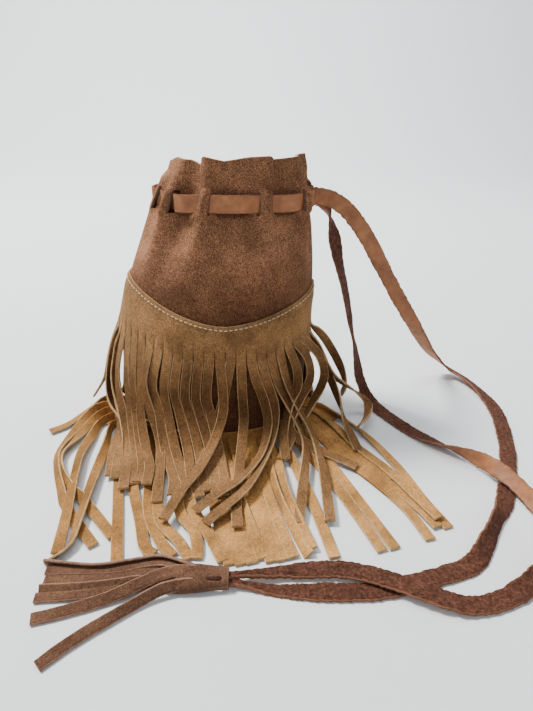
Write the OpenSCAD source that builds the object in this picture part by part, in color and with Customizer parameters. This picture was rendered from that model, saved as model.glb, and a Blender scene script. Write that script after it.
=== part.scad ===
// Fringed suede drawstring pouch: an oval bucket gathered at the neck, two tiers of fringe,
// a flat leather drawstring whose two free ends run over the ground into a rolled tassel.

/* [Pouch] */
// Height from the ground to the rim
pouch_h = 205; // [202:1:210]
// Half width of the base, left to right
base_rx = 71; // [68:1:74]
// Half depth of the base, front to back
base_ry = 56; // [52:1:60]
// How far the gathered neck leans to the right of the base
lean = 18; // [14:1:20]
// Thickness of the suede
skin = 1.8; // [1.4:0.1:2]

/* [Fringed yoke] */
// Height of the lowest point of the yoke's sewn edge, front and back
yoke_dip_z = 97; // [92:1:100]
// Height where the fringe slits begin at the middle of the yoke
slit_top_z = 79; // [74:1:82]
// How far the upper fringe runs over the ground
upper_reach = 82; // [70:1:86]
// How far the lower fringe runs over the ground
lower_reach = 100; // [90:1:101]
// Strips across each half of the fringe
strips = 19; // [15:2:21]

/* [Drawstring] */
// Width of the flat drawstring
strap_w = 12; // [10:0.5:12]
// Thickness of the drawstring
strap_t = 1.8; // [1.4:0.1:2]
// Height of the middle of the drawstring where it circles the neck
strap_z = 178.5; // [178:0.5:179]

/* [Tassel] */
// Length of the rolled tassel head
head_len = 31; // [28:1:34]
// Width of the tassel head
head_w = 15; // [13:1:15]
// Height of the tassel head as it lies
head_h = 9; // [8:0.5:10]
// Width of a tassel strip
tail_w = 5.6; // [4:0.2:5.8]

/* [Hidden] */

base_t = 2.2;
seam_gap = 0.2;
clear = 0.4;
neck_z = strap_z + strap_w / 2 + 4;

// Outline of the pouch at four heights: the middle, the half width and the half depth.
mid_x = [[0, 0], [85, 1], [120, 7], [150, 13], [178, lean], [pouch_h, lean + 4]];
half_x = [[0, base_rx], [85, base_rx + 4], [120, base_rx - 1], [150, 63], [178, 57], [pouch_h, 46]];
half_y = [[0, base_ry], [85, base_ry - 1], [120, 49], [150, 42], [178, 36], [pouch_h, 33]];
soften = 10;

function eased(z, table) =
    (lookup(z - soften, table) + 2 * lookup(z, table) + lookup(z + soften, table)) / 4;

// A point of the pouch's outer face at angle a and height z, moved out by the distance out.
function wall(a, z, out = 0) = [
    eased(z, mid_x) + (eased(z, half_x) + out) * cos(a),
    (eased(z, half_y) + out) * sin(a),
    z
];

// Even steps strictly between two values.
function between(a, b, n) = [for (i = [1:n]) a + (b - a) * i / (n + 1)];

// A sheet of leather as a closed solid. face and back are grids of points, and here(i, j)
// says whether the cell between columns i, i + 1 and rows j, j + 1 holds leather.
module sheet(face, back, here) {
    cols = len(face);
    rows = len(face[0]);
    points = concat([for (c = face) for (p = c) p], [for (c = back) for (p = c) p]);
    under = cols * rows;
    id = function(i, j) i * rows + j;
    held = function(i, j) i >= 0 && j >= 0 && i < cols - 1 && j < rows - 1 && here(i, j);
    faces = [
        for (i = [0:cols - 2]) for (j = [0:rows - 2]) if (held(i, j))
            each [
                [id(i, j), id(i, j + 1), id(i + 1, j)],
                [id(i + 1, j), id(i, j + 1), id(i + 1, j + 1)],
                [under + id(i, j), under + id(i + 1, j), under + id(i, j + 1)],
                [under + id(i + 1, j), under + id(i + 1, j + 1), under + id(i, j + 1)],
                if (!held(i - 1, j)) [id(i, j), under + id(i, j), under + id(i, j + 1), id(i, j + 1)],
                if (!held(i + 1, j))
                    [id(i + 1, j + 1), under + id(i + 1, j + 1), under + id(i + 1, j), id(i + 1, j)],
                if (!held(i, j - 1)) [id(i + 1, j), under + id(i + 1, j), under + id(i, j), id(i, j)],
                if (!held(i, j + 1))
                    [id(i, j + 1), under + id(i, j + 1), under + id(i + 1, j + 1), id(i + 1, j + 1)]
            ]
    ];
    polyhedron(points, faces, convexity = 12);
}

// Body panels. At each belt loop the suede is slit twice and stands out over the drawstring.
front_loops = [190, 220, 252, 294, 332];
back_loops = [20, 66, 108, 152];
loop_half = 4;
slit_angle = 1.2;
loop_out = strap_t + 2 * clear + skin;
loop_low = strap_z - strap_w / 2 - 0.7;
loop_high = strap_z + strap_w / 2 + 0.7;
loop_foot = 3.3;
notch_half = 9;
edge = 0.2;
panel_rows = concat([base_t + seam_gap, 20, 45, 70, 85, 100, 115, 130, 145, 157],
    [loop_low - loop_foot, loop_low, loop_high, neck_z]);
slit_row = len(panel_rows) - 3;

function loop_cols(c) = [c - loop_half - slit_angle, c - loop_half, c + loop_half, c + loop_half + slit_angle];

function panel_cols(start, end, loops, i = 0, last = undef) =
    let (from = is_undef(last) ? start : last)
    i == len(loops)
        ? concat(between(from, end, 3), [end])
        : concat(
            is_undef(last) ? [start] : [],
            between(from, loops[i] - loop_half - slit_angle, 3),
            loop_cols(loops[i]),
            panel_cols(start, end, loops, i + 1, loops[i] + loop_half + slit_angle));

function near_loop(a, loops, half) = len([for (c = loops) if (abs(a - c) < half) c]) > 0;

module body_panel(start, end, loops) {
    cols = panel_cols(start, end, loops);
    raised = function(a, z) near_loop(a, loops, loop_half + 0.1) && z > loop_low - 1 && z < loop_high + 1;
    lift = function(a, z) raised(a, z) ? loop_out : 0;
    sheet(
        [for (a = cols) [for (z = panel_rows) wall(a, z, lift(a, z))]],
        [for (a = cols) [for (z = panel_rows) wall(a, z, lift(a, z) - skin)]],
        function(i, j)
            let (a = (cols[i] + cols[i + 1]) / 2)
            let (slit = near_loop(a, loops, loop_half + slit_angle) && !near_loop(a, loops, loop_half))
            let (notch = min(abs(a), abs(360 - a)) < notch_half)
            !(slit && j == slit_row) && !(notch && j >= slit_row - 1));
}

module front_body_panel() {
    color([0.43, 0.28, 0.2]) body_panel(180 + edge, 360 - edge, front_loops);
}

module back_body_panel() {
    color([0.41, 0.27, 0.19]) body_panel(edge, 180 - edge, back_loops);
}

module base_panel() {
    color([0.38, 0.25, 0.18])
        linear_extrude(base_t) polygon([for (i = [0:59]) [base_rx * cos(6 * i), base_ry * sin(6 * i)]]);
}

// Fringed yoke and lower fringe: each half is one comb of leather. turn is 180 for the
// front half and 0 for the back half. Strips are evenly spaced from left to right, run down
// the pouch, turn out over the ground and fan out towards both sides.
gap_share = 0.06;
yoke_rise_left = 26;
yoke_rise_right = 18;
slit_rise_left = 16;
slit_rise_right = 9;
yoke_skew = 8;
fan_left = 22;
fan_right = 32;
yoke_out = 1.1;
yoke_rows = 4;

// Columns of a comb from -1 at one side to 1 at the other, two for each strip. The outermost
// strips have more, because the wall turns most there, and stop just short of the sides,
// where the front and back halves meet.
side_cols = [0.95, 0.98, 0.995, 0.9998];
function strip_edge(k, inset) = 2 * (k + inset) / strips - 1;
comb_cols = concat(
    [for (i = [len(side_cols) - 1:-1:0]) -side_cols[i]],
    [strip_edge(1, -gap_share)],
    [for (k = [1:strips - 2]) each [strip_edge(k, gap_share), strip_edge(k + 1, -gap_share)]],
    [strip_edge(strips - 1, gap_share)],
    side_cols);

// True where the cells between columns i and i + 1 belong to a strip, not a slit.
function in_strip(i) =
    let (place = ((comb_cols[i] + comb_cols[i + 1]) / 2 + 1) / 2 * strips)
    let (off = abs(place - round(place)))
    off > gap_share || place < 0.5 || place > strips - 0.5;

function comb_angle(s, turn) = turn + acos(turn == 180 ? -s : s);

// The yoke's lowest point is a little right of the middle.
function skewed(a) = cos(a < 180 ? a + yoke_skew : a - yoke_skew);
function yoke_top(a) =
    yoke_dip_z + (skewed(a) < 0 ? yoke_rise_left : yoke_rise_right) * pow(abs(skewed(a)), 1.6);
function slit_top(a) =
    slit_top_z + (skewed(a) < 0 ? slit_rise_left : slit_rise_right) * pow(skewed(a), 2);

// Direction that a strip takes over the ground.
function heading(s, turn) = turn == 180
    ? -90 + (s < 0 ? fan_left : fan_right) * s
    : 90 - fan_left * s;

// One point of a comb: root angle a, height z, distance out from the wall and run over the ground.
function comb_point(s, turn, z, out, run, foot) =
    let (a = comb_angle(s, turn))
    let (w = wall(a, z > foot ? z : foot, out))
    let (d = heading(s, turn))
    [w[0] + run * cos(d), w[1] + run * sin(d), z];

module comb(turn, rows_of, thick, foot, band_rows) {
    rows = [for (s = comb_cols) rows_of(s)];
    top = [for (i = [0:len(comb_cols) - 1]) [for (r = rows[i])
        comb_point(comb_cols[i], turn, r[0] + r[3] * thick, r[1] + (1 - r[3]) * thick, r[2], foot)]];
    low = [for (i = [0:len(comb_cols) - 1]) [for (r = rows[i])
        comb_point(comb_cols[i], turn, r[0], r[1], r[2], foot)]];
    if (turn == 180) sheet(top, low, function(i, j) in_strip(i) || j < band_rows);
    else sheet(low, top, function(i, j) in_strip(i) || j < band_rows);
}

// Rows of the upper comb: [height, distance out, run, share of thickness that is vertical].
function upper_rows(s, turn) =
    let (a = comb_angle(s, turn))
    let (high = yoke_top(a))
    let (low = slit_top(a))
    [
        for (k = [0:yoke_rows]) [high + (low - high) * k / yoke_rows, yoke_out, 0, 0],
        [low - 9, yoke_out + 0.3, 0, 0],
        [60, 2.2, 0, 0],
        [50, 2.8, 0, 0],
        [34, 6, 3, 0.3],
        [18, 11, 13, 0.7],
        [7, 15, 32, 1],
        [3.6, 16, 50, 1],
        [3.6, 16, upper_reach, 1]
    ];

function lower_rows() = [
    [10, yoke_out, 0, 0],
    [8, yoke_out + 0.4, 0, 0],
    [6.4, 2.5, 0, 0.3],
    [3.8, 5, 1, 0.7],
    [2, 10, 5, 1],
    [0.4, 11, 16, 1],
    [0.4, 11, lower_reach, 1]
];

module fringed_yoke(turn) {
    comb(turn, function(s) upper_rows(s, turn), skin, 5, yoke_rows);
}

module lower_fringe(turn) {
    comb(turn, function(s) lower_rows(), skin - 0.2, 5, 2);
}

module front_fringed_yoke() {
    color([0.58, 0.43, 0.27]) fringed_yoke(180);
}

module back_fringed_yoke() {
    color([0.58, 0.43, 0.27]) fringed_yoke(0);
}

module front_lower_fringe() {
    color([0.7, 0.52, 0.33]) lower_fringe(180);
}

module back_lower_fringe() {
    color([0.7, 0.52, 0.33]) lower_fringe(0);
}

// Stitches along the yoke's sewn edge.
stitch_pitch = 3.6;
stitch_len = 2.4;
stitch_t = 0.5;
stitch_drop = 4;

module yoke_stitching(turn) {
    count = floor(160 / 180 * PI * (base_rx + base_ry) / 2 / stitch_pitch);
    for (i = [0:count - 1]) {
        a = turn + 10 + 160 * (i + 0.5) / count;
        out = yoke_out + skin + stitch_t / 2 + 0.3;
        p = wall(a, yoke_top(a) - stitch_drop, out);
        q = wall(a + 1, yoke_top(a + 1) - stitch_drop, out);
        step = q - p;
        translate(p)
            rotate([0, -atan2(step[2], norm([step[0], step[1]])), atan2(step[1], step[0])])
                cube([stitch_len, stitch_t, stitch_t], center = true);
    }
}

module front_yoke_stitching() {
    color([0.85, 0.75, 0.58]) yoke_stitching(180);
}

module back_yoke_stitching() {
    color([0.85, 0.75, 0.58]) yoke_stitching(0);
}

// The collar above the drawstring folds in six lobes, each free to tilt out about its foot.
collar_edge = 0.5;
back_dip = 8;

// Height of the rim, which dips at the back.
function rim(a) = pouch_h - back_dip * max(0, sin(a));

module collar(start, end) {
    cols = concat([start + collar_edge], between(start, end, 7), [end - collar_edge]);
    rows = function(a) [neck_z + 0.5, neck_z + 3, neck_z + 6, rim(a)];
    sheet(
        [for (a = cols) [for (z = rows(a)) wall(a, z)]],
        [for (a = cols) [for (z = rows(a)) wall(a, z, -skin)]],
        function(i, j) true);
}

module collar_front() {
    color([0.46, 0.31, 0.22]) collar(252, 294);
}

module collar_front_left() {
    color([0.43, 0.28, 0.2]) collar(180, 252);
}

module collar_back_left() {
    color([0.43, 0.28, 0.2]) collar(108, 180);
}

module collar_back() {
    color([0.46, 0.31, 0.22]) collar(66, 108);
}

module collar_back_right() {
    color([0.43, 0.28, 0.2]) collar(0, 66);
}

module collar_front_right() {
    color([0.43, 0.28, 0.2]) collar(294, 360);
}

// The drawstring's run round the neck, under the belt loops.
run_end = 11;

module drawstring_neck_run() {
    cols = [for (i = [0:68]) run_end + (360 - 2 * run_end) * i / 68];
    rows = [strap_z - strap_w / 2, strap_z + strap_w / 2];
    color([0.62, 0.4, 0.25])
        sheet(
            [for (a = cols) [for (z = rows) wall(a, z, clear + strap_t)]],
            [for (a = cols) [for (z = rows) wall(a, z, clear)]],
            function(i, j) true);
}

// Free ends of the drawstring. Each route point is [x, y, z, roll]: roll is 0 where the
// strap stands on edge and 90 or -90 where it lies flat.
route_a = [
    [48, -2, 178.5, 0], [62, -2, 178.5, 0], [78, -2, 178, 0], [94, 0, 173, -5], [108, 5, 160, 5],
    [121, 11, 142, 15], [134, 18, 121, 20], [148, 25, 98, 22], [163, 32, 75, 32],
    [178, 40, 52, 52], [192, 48, 31, 72], [206, 54, 16, 80], [218, 52, 7, 70], [227, 40, 5, 64],
    [234, 22, 3.2, 66], [238, 0, 1.3, 84], [236, -24, 1.1, 90], [230, -50, 1.1, 90],
    [222, -76, 1.1, 90], [211, -102, 1.1, 90], [200, -124, 2, 78], [188, -142, 5.4, 36],
    [173, -163, 4.4, 50], [161, -176, 1.6, 80], [144, -183, 1.1, 90], [124, -189, 1.1, 90],
    [104, -194, 1.1, 90], [82, -195, 1.1, 90], [60, -194.5, 1.1, 90], [42, -193, 1.1, 90],
    [23.5, -190, 1.2, 90]
];
route_b = [
    [48, 2, 178.5, 0], [62, 2, 178.5, 0], [75, 2, 178, 10], [85, 7, 170, 60], [92, 8, 153, 115],
    [98, 6, 128, 118], [105, 6, 102, 120], [111, 7, 76, 124], [117, 9, 50, 114], [122, 8, 26, 104],
    [129, 3, 9, 94], [137, -7, 2, 90], [147, -24, 1.1, 90], [160, -44, 1.3, 88],
    [174, -62, 3.6, 66], [188, -79, 7.2, 20], [201, -95, 8.8, -34], [211, -111, 7, -66],
    [218, -128, 3.6, -70], [219, -148, 5.2, -50], [211, -168, 7, 0], [194, -186, 4.6, 58],
    [174, -198, 1.6, 86], [153, -204, 1.8, 90], [134, -201, 4.4, 90], [117, -193, 4.6, 90],
    [101, -186, 4, 90], [84, -181, 2.8, 90], [64, -181, 2.4, 90], [42, -184, 3.7, 90],
    [23.5, -187.5, 4.7, 90]
];
strap_rings = 2;
strap_bevel = 0.4;

// A Catmull-Rom curve through the route, with strap_rings steps in each span.
function pick(list, i) = list[min(max(i, 0), len(list) - 1)];
function curve(a, b, c, d, t) =
    0.5 * (2 * b + (c - a) * t + (2 * a - 5 * b + 4 * c - d) * t * t + (3 * b - a - 3 * c + d) * t * t * t);
function smooth(route) = concat([for (i = [0:len(route) - 2]) for (k = [0:strap_rings - 1])
    curve(pick(route, i - 1), route[i], route[i + 1], pick(route, i + 2), k / strap_rings)],
    [route[len(route) - 1]]);

function unit(v) = v / norm(v);
function xyz(p) = [p[0], p[1], p[2]];

// Section of the strap: half width and half thickness of its eight corners.
function strap_section() =
    let (w = strap_w / 2)
    let (t = strap_t / 2)
    let (b = strap_bevel)
    [[w, t - b], [w - b, t], [b - w, t], [-w, t - b], [-w, b - t], [b - w, -t], [w - b, -t], [w, b - t]];

function strap_ring(path, i) =
    let (p = path[i])
    let (along = unit(xyz(pick(path, i + 1)) - xyz(pick(path, i - 1))))
    let (side = unit(cross(along, [0, 0, 1])))
    let (rise = cross(side, along))
    let (wide = side * sin(p[3]) + rise * cos(p[3]))
    let (thin = cross(along, wide))
    [for (c = strap_section()) xyz(p) + wide * c[0] + thin * c[1]];

module strap(route) {
    path = smooth(route);
    sides = len(strap_section());
    last = len(path) - 1;
    polyhedron(
        [for (i = [0:last]) each strap_ring(path, i)],
        concat(
            [[for (k = [0:sides - 1]) sides - 1 - k]],
            [for (i = [0:last - 1]) for (k = [0:sides - 1]) each [
                [i * sides + k, i * sides + (k + 1) % sides, (i + 1) * sides + k],
                [(i + 1) * sides + k, i * sides + (k + 1) % sides, (i + 1) * sides + (k + 1) % sides]
            ]],
            [[for (k = [0:sides - 1]) last * sides + k]]),
        convexity = 12);
}

module drawstring_end_a() {
    color([0.62, 0.4, 0.25]) strap(route_a);
}

module drawstring_end_b() {
    color([0.45, 0.29, 0.22]) strap(route_b);
}

// Tassel: a rolled head with a punched slot, turning about a pivot near its right end.
pivot = [13.5, -188.5];
slot_l = 7;
slot_w = 3.5;
slot_back = 4;
slot_side = 3.5;
corner = 3;
tail_len = 74;
// Each strip: [offset across the head, height at the head, heading].
tails = [
    [5.6, 0.9, 174], [3.2, 3.2, 177], [1.2, 5.6, 181], [-0.8, 0.9, 185],
    [-3.4, 3.2, 188], [-4.6, 5.6, 197], [-6.2, 0.9, 214]
];
tail_t = 1.6;
tail_gap = 3;

module tassel_head() {
    color([0.45, 0.29, 0.21])
        translate([pivot[0], pivot[1], 0])
            difference() {
                linear_extrude(head_h) union() {
                    circle(d = head_w, $fn = 64);
                    translate([corner - (head_len - head_w / 2), -head_w / 2])
                        square([head_len - head_w / 2 - corner, head_w]);
                    translate([-(head_len - head_w / 2), corner - head_w / 2])
                        square([corner, head_w - 2 * corner]);
                }
                translate([-slot_back, -slot_side, head_h / 2])
                    cube([slot_l, slot_w, head_h + 2], center = true);
            }
}

module tassel_strips() {
    color([0.45, 0.3, 0.21])
        for (tail = tails)
            translate([pivot[0] - (head_len - head_w / 2) - 0.3, pivot[1] + tail[0], tail[1]])
                rotate([0, 0, tail[2]])
                    translate([tail_gap, -tail_w / 2, -tail_t / 2])
                        cube([tail_len - tail_gap, tail_w, tail_t]);
}

base_panel();
front_body_panel();
back_body_panel();
front_fringed_yoke();
back_fringed_yoke();
front_yoke_stitching();
back_yoke_stitching();
front_lower_fringe();
back_lower_fringe();
drawstring_neck_run();
collar_front();
collar_front_left();
collar_back_left();
collar_back();
collar_back_right();
collar_front_right();
drawstring_end_a();
drawstring_end_b();
tassel_head();
tassel_strips();
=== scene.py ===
import math
import random

import bpy
import numpy as np
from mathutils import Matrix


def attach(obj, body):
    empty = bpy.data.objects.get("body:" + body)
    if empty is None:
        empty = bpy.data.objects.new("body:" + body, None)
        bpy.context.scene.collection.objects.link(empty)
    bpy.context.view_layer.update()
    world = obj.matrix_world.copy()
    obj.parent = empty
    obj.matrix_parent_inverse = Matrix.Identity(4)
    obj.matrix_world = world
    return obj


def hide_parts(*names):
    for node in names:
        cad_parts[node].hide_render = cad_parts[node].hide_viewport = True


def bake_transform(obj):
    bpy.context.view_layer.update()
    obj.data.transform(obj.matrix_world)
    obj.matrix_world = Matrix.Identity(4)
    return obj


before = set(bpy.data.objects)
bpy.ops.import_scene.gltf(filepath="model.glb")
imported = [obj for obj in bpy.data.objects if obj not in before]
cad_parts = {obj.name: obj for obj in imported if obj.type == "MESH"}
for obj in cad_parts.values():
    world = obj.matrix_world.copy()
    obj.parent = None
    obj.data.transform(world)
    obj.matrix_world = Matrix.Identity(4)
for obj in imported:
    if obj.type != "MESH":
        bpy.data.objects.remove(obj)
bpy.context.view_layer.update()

MM = 0.001
RNG = random.Random(11)

# ---------------------------------------------------------------- camera, floor and light


CAMERA_PLACE = (0.042, -0.398, 0.246)
CAMERA_DOWN = 26.4  # degrees below level
LENS, SENSOR_HEIGHT = 27.0, 36.0
FLOOR_Z = -0.0002

# Area lights: name, place, the point it faces, size in metres, watts and colour.
LIGHTS = [
    ("key", (-1.35, 0.45, 2.3), (0.0, -0.05, 0.05), 0.6, 135, (1.0, 0.97, 0.93)),
    ("fill", (0.2, -1.1, 0.9), (0.03, 0, 0.08), 1.0, 4, (0.95, 0.97, 1.0)),
    ("wall", (0.0, 0.7, 1.7), (0.0, 2.0, 0.5), 1.6, 45, (1.0, 1.0, 1.0)),
]


def new_object(name, data):
    obj = bpy.data.objects.new(name, data)
    bpy.context.scene.collection.objects.link(obj)
    return obj


def preset(node, **values):
    """Sets a node's inputs by name, with _ for a space."""
    for key, value in values.items():
        node.inputs[key.replace("_", " ")].default_value = value


def add_camera():
    data = bpy.data.cameras.new("camera")
    data.sensor_fit = "VERTICAL"
    data.sensor_height = SENSOR_HEIGHT
    data.lens = LENS
    camera = new_object("camera", data)
    camera.location = CAMERA_PLACE
    camera.rotation_euler = (math.radians(90 - CAMERA_DOWN), 0, 0)
    bpy.context.scene.camera = camera


def add_area(name, place, aim, size, watts, colour):
    data = bpy.data.lights.new(name, "AREA")
    data.size = size
    data.energy = watts
    data.color = colour
    light = new_object(name, data)
    light.location = place
    d = np.array(aim, float) - np.array(place, float)
    from_down = math.acos(-d[2] / np.linalg.norm(d))
    light.rotation_euler = (from_down, 0, math.atan2(d[1], d[0]) - math.pi / 2)


def make_cove():
    """A plain floor that curves up into a wall behind the pouch."""
    half, depth, curve, tall, steps = 3.0, 1.3, 0.7, 3.0, 8
    profile = [(-half, FLOOR_Z), (depth, FLOOR_Z)]
    for k in range(1, steps + 1):
        t = math.pi / 2 * k / steps
        profile.append((depth + curve * math.sin(t), curve * (1 - math.cos(t))))
    profile.append((depth + curve, tall))
    points = [(x, y, z) for y, z in profile for x in (-half, half)]
    faces = [(2 * i, 2 * i + 1, 2 * i + 3, 2 * i + 2) for i in range(len(profile) - 1)]
    mesh = bpy.data.meshes.new("floor")
    mesh.from_pydata(points, [], faces)
    mesh.polygons.foreach_set("use_smooth", [True] * len(faces))
    return new_object("floor", mesh)


def add_stage():
    world = bpy.data.worlds.new("world")
    bpy.context.scene.world = world
    world.use_nodes = True
    preset(world.node_tree.nodes["Background"], Color=(0.93, 0.95, 1.0, 1), Strength=0.36)
    for light in LIGHTS:
        add_area(*light)
    floor = make_cove()
    material = bpy.data.materials.new("floor")
    material.use_nodes = True
    shader = material.node_tree.nodes["Principled BSDF"]
    preset(shader, Base_Color=(0.72, 0.75, 0.77, 1), Roughness=0.8)
    floor.data.materials.append(material)


# ---------------------------------------------------------------- materials


class Nodes:
    """Short calls for one material's node tree."""

    def __init__(self, name):
        self.material = bpy.data.materials.new(name)
        self.material.use_nodes = True
        self.tree = self.material.node_tree
        self.shader = self.tree.nodes["Principled BSDF"]
        self.where = self.add("ShaderNodeTexCoord").outputs["Object"]

    def add(self, kind, **values):
        node = self.tree.nodes.new(kind)
        for key, value in values.items():
            setattr(node, key, value)
        return node

    def link(self, out, socket):
        self.tree.links.new(out, socket)

    def noise(self, scale, detail=3.0, rough=0.55):
        node = self.add("ShaderNodeTexNoise")
        preset(node, Scale=scale, Detail=detail, Roughness=rough)
        self.link(self.where, node.inputs["Vector"])
        return node.outputs["Fac"]

    def ramp(self, source, stops):
        """stops is a list of (place, colour) from 0 to 1."""
        node = self.add("ShaderNodeValToRGB")
        ramp = node.color_ramp
        ramp.elements[0].position, ramp.elements[0].color = stops[0][0], (*stops[0][1], 1)
        ramp.elements[1].position, ramp.elements[1].color = stops[-1][0], (*stops[-1][1], 1)
        for place, colour in stops[1:-1]:
            ramp.elements.new(place).color = (*colour, 1)
        self.link(source, node.inputs["Fac"])
        return node.outputs["Color"]

    def multiply(self, a, b):
        node = self.add("ShaderNodeMix", data_type="RGBA", blend_type="MULTIPLY")
        preset(node, Factor=1.0)
        self.link(a, node.inputs["A"])
        self.link(b, node.inputs["B"])
        return node.outputs["Result"]

    def bump(self, heights, distance, strength):
        """heights is a list of (output, weight), added up."""
        total = None
        for out, weight in heights:
            node = self.add("ShaderNodeMath", operation="MULTIPLY_ADD")
            node.inputs[1].default_value = weight
            self.link(out, node.inputs[0])
            if total is None:
                node.inputs[2].default_value = 0.0
            else:
                self.link(total, node.inputs[2])
            total = node.outputs["Value"]
        node = self.add("ShaderNodeBump")
        preset(node, Strength=strength, Distance=distance)
        self.link(total, node.inputs["Height"])
        self.link(node.outputs["Normal"], self.shader.inputs["Normal"])

    def finish(self, colour, roughness, sheen, sheen_tint, specular):
        self.link(colour, self.shader.inputs["Base Color"])
        preset(self.shader, Roughness=roughness, Sheen_Weight=sheen, Sheen_Roughness=0.5,
               Sheen_Tint=(*sheen_tint, 1), Specular_IOR_Level=specular)
        return self.material


def scaled(colour, k):
    return tuple(min(1.0, c * k) for c in colour)


def suede(name, colour, speckle, blotch, axis="Z", shade=None):
    """Napped suede: speckled fibres over broad brushed patches. shade gives places along the
    axis, in metres, and how bright the colour is painted there, which on the body and the yoke is painted
    shade and light."""
    n = Nodes(name)
    fine = n.noise(1500, 2.0, 0.7)
    coarse = n.noise(420, 3.0, 0.6)
    broad = n.noise(38, 3.0, 0.55)
    dark, light = scaled(colour, 1 - speckle), scaled(colour, 1 + 1.5 * speckle)
    nap = n.ramp(fine, [(0.32, dark), (0.5, colour), (0.7, light)])
    brushed = n.ramp(broad, [(0.3, (1 - blotch,) * 3), (0.5, (0.98,) * 3), (0.7, (1 + blotch,) * 3)])
    clumps = n.ramp(coarse, [(0.3, (0.78, 0.76, 0.75)), (0.7, (1.2, 1.2, 1.18))])
    colour_out = n.multiply(n.multiply(nap, brushed), clumps)
    if shade:
        split = n.add("ShaderNodeSeparateXYZ")
        n.link(n.where, split.inputs["Vector"])
        low, high = shade[0][0], shade[-1][0]
        reach = n.add("ShaderNodeMapRange")
        preset(reach, From_Min=low, From_Max=high)
        n.link(split.outputs[axis], reach.inputs["Value"])
        # where the colour is painted darker it is also a little redder
        stops = [((at - low) / (high - low), (k, k ** 1.1, k ** 1.2)) for at, k in shade]
        colour_out = n.multiply(colour_out, n.ramp(reach.outputs["Result"], stops))
    n.bump([(fine, 0.6), (coarse, 1.0)], 0.0007, 0.9)
    return n.finish(colour_out, 0.95, 0.25, scaled(colour, 2.2), 0.12)


def cut_edge(name, colour):
    """Raw cut edge of leather: pale, fibrous."""
    n = Nodes(name)
    fine = n.noise(1300, 3.0, 0.7)
    coarse = n.noise(260, 2.0)
    base = n.ramp(fine, [(0.3, scaled(colour, 0.62)), (0.55, colour), (0.75, scaled(colour, 1.25))])
    patches = n.ramp(coarse, [(0.3, (0.72, 0.7, 0.68)), (0.65, (1.1, 1.1, 1.1))])
    n.bump([(fine, 1.0), (coarse, 0.6)], 0.0004, 0.8)
    return n.finish(n.multiply(base, patches), 0.9, 0.15, scaled(colour, 1.2), 0.15)


def grain_leather(name, colour):
    """Smooth grain side of strap leather: satin, finely creased, mottled dye."""
    n = Nodes(name)
    pores = n.add("ShaderNodeTexVoronoi", feature="DISTANCE_TO_EDGE")
    preset(pores, Scale=1100)
    n.link(n.where, pores.inputs["Vector"])
    creases = n.noise(500, 4.0, 0.65)
    mottle = n.noise(70, 4.0, 0.6)
    wear = n.noise(210, 2.0, 0.5)
    base = n.ramp(mottle, [(0.3, scaled(colour, 0.68)), (0.5, colour), (0.72, scaled(colour, 1.32))])
    dye = n.ramp(wear, [(0.35, (0.85, 0.82, 0.8)), (0.7, (1.12, 1.1, 1.06))])
    n.bump([(pores.outputs["Distance"], 0.35), (creases, 1.0)], 0.00025, 0.6)
    return n.finish(n.multiply(base, dye), 0.56, 0.0, (1, 1, 1), 0.34)


def flesh_leather(name, colour):
    """Rough flesh side of strap leather: loose reddish fibres."""
    n = Nodes(name)
    fibres = n.noise(430, 5.0, 0.8)
    lumps = n.noise(230, 3.0, 0.6)
    broad = n.noise(60, 2.0)
    base = n.ramp(fibres, [(0.34, scaled(colour, 0.35)), (0.5, colour), (0.66, scaled(colour, 2.0))])
    patches = n.ramp(broad, [(0.3, (0.8, 0.78, 0.76)), (0.7, (1.15, 1.12, 1.1))])
    n.bump([(fibres, 1.3), (lumps, 1.5)], 0.0026, 1.0)
    return n.finish(n.multiply(base, patches), 0.92, 0.2, scaled(colour, 2.0), 0.15)


def thread_material(name, colour):
    n = Nodes(name)
    plies = n.noise(1800, 2.0)
    base = n.ramp(plies, [(0.3, scaled(colour, 0.75)), (0.7, scaled(colour, 1.15))])
    n.bump([(plies, 1.0)], 0.0002, 0.7)
    return n.finish(base, 0.75, 0.1, (1, 1, 1), 0.25)


# painted shade and light: the body is painted darker from about 145 mm down to 95 mm high, and brighter
# around 145 mm
BODY = suede("body_suede", (0.178, 0.083, 0.043), 0.8, 0.34,
             shade=[(0.095, 0.54), (0.115, 0.74), (0.145, 1.22), (0.175, 1.0), (0.21, 0.98)])
BODY_EDGE = cut_edge("body_edge", (0.44, 0.30, 0.20))
# painted shade: the slits' cut sides and the face just beside them are painted near black
SLIT_SHADE = cut_edge("slit_shade", (0.13, 0.075, 0.045))
# painted shade: the hanging strips are painted darker between about 14 and 46 mm high, and a little darker at
# the floor
YOKE = suede("yoke_suede", (0.255, 0.137, 0.058), 0.55, 0.4,
             shade=[(0.0, 0.84), (0.014, 0.62), (0.03, 0.42), (0.046, 0.42), (0.068, 0.92), (0.13, 0.98)])
YOKE_EDGE = cut_edge("yoke_edge", (0.46, 0.30, 0.15))
LOWER = suede("lower_suede", (0.395, 0.203, 0.066), 0.4, 0.4, "X",
              shade=[(-0.13, 0.58), (-0.03, 0.74), (0.03, 1.05), (0.16, 0.86)])
LOWER_EDGE = cut_edge("lower_edge", (0.52, 0.34, 0.16))
GRAIN = grain_leather("strap_grain", (0.300, 0.118, 0.046))
FLESH = flesh_leather("strap_flesh", (0.118, 0.048, 0.030))
STRAP_EDGE = cut_edge("strap_edge", (0.20, 0.09, 0.05))
TASSEL = suede("tassel_leather", (0.112, 0.056, 0.033), 0.4, 0.3)
TASSEL_EDGE = cut_edge("tassel_edge", (0.27, 0.155, 0.105))
THREAD = thread_material("stitch_thread", (0.62, 0.50, 0.34))

# ---------------------------------------------------------------- the pouch's outline, in mm

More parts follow.
